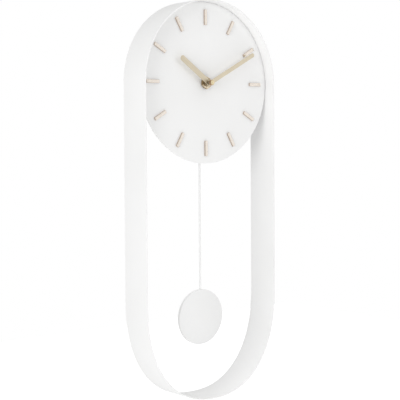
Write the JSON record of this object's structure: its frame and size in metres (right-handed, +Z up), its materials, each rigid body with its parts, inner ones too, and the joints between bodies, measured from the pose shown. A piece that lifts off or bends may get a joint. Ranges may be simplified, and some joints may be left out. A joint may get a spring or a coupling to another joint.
{
  "type": "pendulum wall clock",
  "caption": "Wall clock in a white steel ribbon loop: recessed round dial with gold bar markers and hands, quartz movement, and a free-swinging disc pendulum below.",
  "frame": {"origin": "seat of the hanging keyhole on the wall plane, 55 mm above the dial's centre", "axes": "+Z up, +Y into the wall, +X to the right as seen from the front"},
  "size_m": [0.205, 0.045, 0.4951],
  "materials": {
    "white_steel": "fine matt powder coat",
    "gold_markers": "polished pale gold plate",
    "gold_hands": "matt champagne gold",
    "brass": "turned brass",
    "steel": "zinc-plated steel",
    "black_plastic": "fine spark-eroded texture",
    "white_plastic": "natural acetal",
    "rubber": "matt",
    "copper_winding": "enamelled wire, stands in for copper",
    "circuit_board": "solder mask",
    "magnet": "sintered ferrite",
    "battery": "plain printed wrap",
    "weight_metal": "as cast"
  },
  "bodies": {
    "clock_body": {"band_frame": "white_steel", "hanger_bar": "white_steel", "dial_plate": "white_steel", "hour_marker_01": "gold_markers", "hour_marker_02": "gold_markers", "hour_marker_03": "gold_markers", "hour_marker_04": "gold_markers", "hour_marker_05": "gold_markers", "hour_marker_06": "gold_markers", "hour_marker_07": "gold_markers", "hour_marker_08": "gold_markers", "hour_marker_09": "gold_markers", "hour_marker_10": "gold_markers", "hour_marker_11": "gold_markers", "hour_marker_12": "gold_markers", "dial_bracket_left": "steel", "dial_bracket_right": "steel", "dial_nut_left": "steel", "dial_nut_right": "steel", "threaded_bush": "brass", "bush_washer": "brass", "bush_nut": "brass", "rubber_washer": "rubber", "movement_front_case": "black_plastic", "movement_rear_cover": "black_plastic", "case_screw_upper": "steel", "case_screw_lower": "steel", "train_bridge": "white_plastic", "stator": "steel", "coil_core": "steel", "coil_bobbin": "white_plastic", "coil_winding": "copper_winding", "battery_cell": "battery", "battery_contact_plus": "steel", "battery_contact_minus": "steel", "circuit_board": "circuit_board", "quartz_crystal": "steel", "drive_coil": "copper_winding", "pendulum_pivot_pin": "steel"},
    "minute_hand": {"minute_hand": "gold_hands", "cannon_pinion": "steel", "hand_cap_nut": "gold_hands"},
    "hour_hand": {"hour_hand": "gold_hands", "hour_wheel": "brass"},
    "minute_wheel": {"minute_wheel": "white_plastic"},
    "setting_knob": {"setting_pinion": "white_plastic", "setting_knob": "black_plastic"},
    "fourth_wheel": {"fourth_wheel": "white_plastic"},
    "third_wheel": {"third_wheel": "white_plastic"},
    "centre_wheel": {"centre_wheel": "brass"},
    "intermediate_wheel": {"intermediate_wheel": "white_plastic"},
    "rotor": {"rotor_pinion": "white_plastic", "rotor_magnet": "magnet"},
    "pendulum": {"pendulum_hanger": "white_plastic", "hanger_magnet": "magnet", "pendulum_rod": "white_steel", "bob_front_shell": "white_steel", "bob_rear_shell": "white_steel", "bob_weight": "weight_metal"}
  },
  "joints": [
    {"name": "minute_hand_turn", "type": "hinge", "parent": "clock_body", "child": "minute_hand", "pos_m": [0, 0, -0.055], "axis": [0, 1, 0], "continuous": true},
    {"name": "hour_hand_turn", "type": "hinge", "parent": "clock_body", "child": "hour_hand", "pos_m": [0, 0, -0.055], "axis": [0, 1, 0], "continuous": true},
    {"name": "minute_wheel_turn", "type": "hinge", "parent": "clock_body", "child": "minute_wheel", "pos_m": [0.00846, 0, -0.05808], "axis": [0, 1, 0], "continuous": true},
    {"name": "setting_knob_turn", "type": "hinge", "parent": "clock_body", "child": "setting_knob", "pos_m": [0.01758, 0, -0.06052], "axis": [0, 1, 0], "continuous": true},
    {"name": "fourth_wheel_turn", "type": "hinge", "parent": "clock_body", "child": "fourth_wheel", "pos_m": [-0.01582, 0, -0.05383], "axis": [0, 1, 0], "continuous": true},
    {"name": "third_wheel_turn", "type": "hinge", "parent": "clock_body", "child": "third_wheel", "pos_m": [-0.00846, 0, -0.05808], "axis": [0, 1, 0], "continuous": true},
    {"name": "centre_wheel_turn", "type": "hinge", "parent": "clock_body", "child": "centre_wheel", "pos_m": [0, 0, -0.055], "axis": [0, 1, 0], "continuous": true},
    {"name": "intermediate_wheel_turn", "type": "hinge", "parent": "clock_body", "child": "intermediate_wheel", "pos_m": [-0.01968, 0, -0.05842], "axis": [0, 1, 0], "continuous": true},
    {"name": "rotor_turn", "type": "hinge", "parent": "clock_body", "child": "rotor", "pos_m": [-0.01919, 0, -0.064], "axis": [0, 1, 0], "continuous": true},
    {"name": "pendulum_swing", "type": "hinge", "parent": "clock_body", "child": "pendulum", "pos_m": [0, 0, -0.087], "axis": [0, 1, 0], "range_deg": [-9, 9]}
  ],
  "couplings": [
    {"joint": "minute_wheel_turn", "follows": "minute_hand_turn", "ratio": -0.33333},
    {"joint": "hour_hand_turn", "follows": "minute_hand_turn", "ratio": 0.083333},
    {"joint": "setting_knob_turn", "follows": "minute_hand_turn", "ratio": 0.83333},
    {"joint": "third_wheel_turn", "follows": "fourth_wheel_turn", "ratio": -0.13333},
    {"joint": "centre_wheel_turn", "follows": "fourth_wheel_turn", "ratio": 0.016667},
    {"joint": "intermediate_wheel_turn", "follows": "fourth_wheel_turn", "ratio": -5},
    {"joint": "rotor_turn", "follows": "fourth_wheel_turn", "ratio": 30}
  ]
}
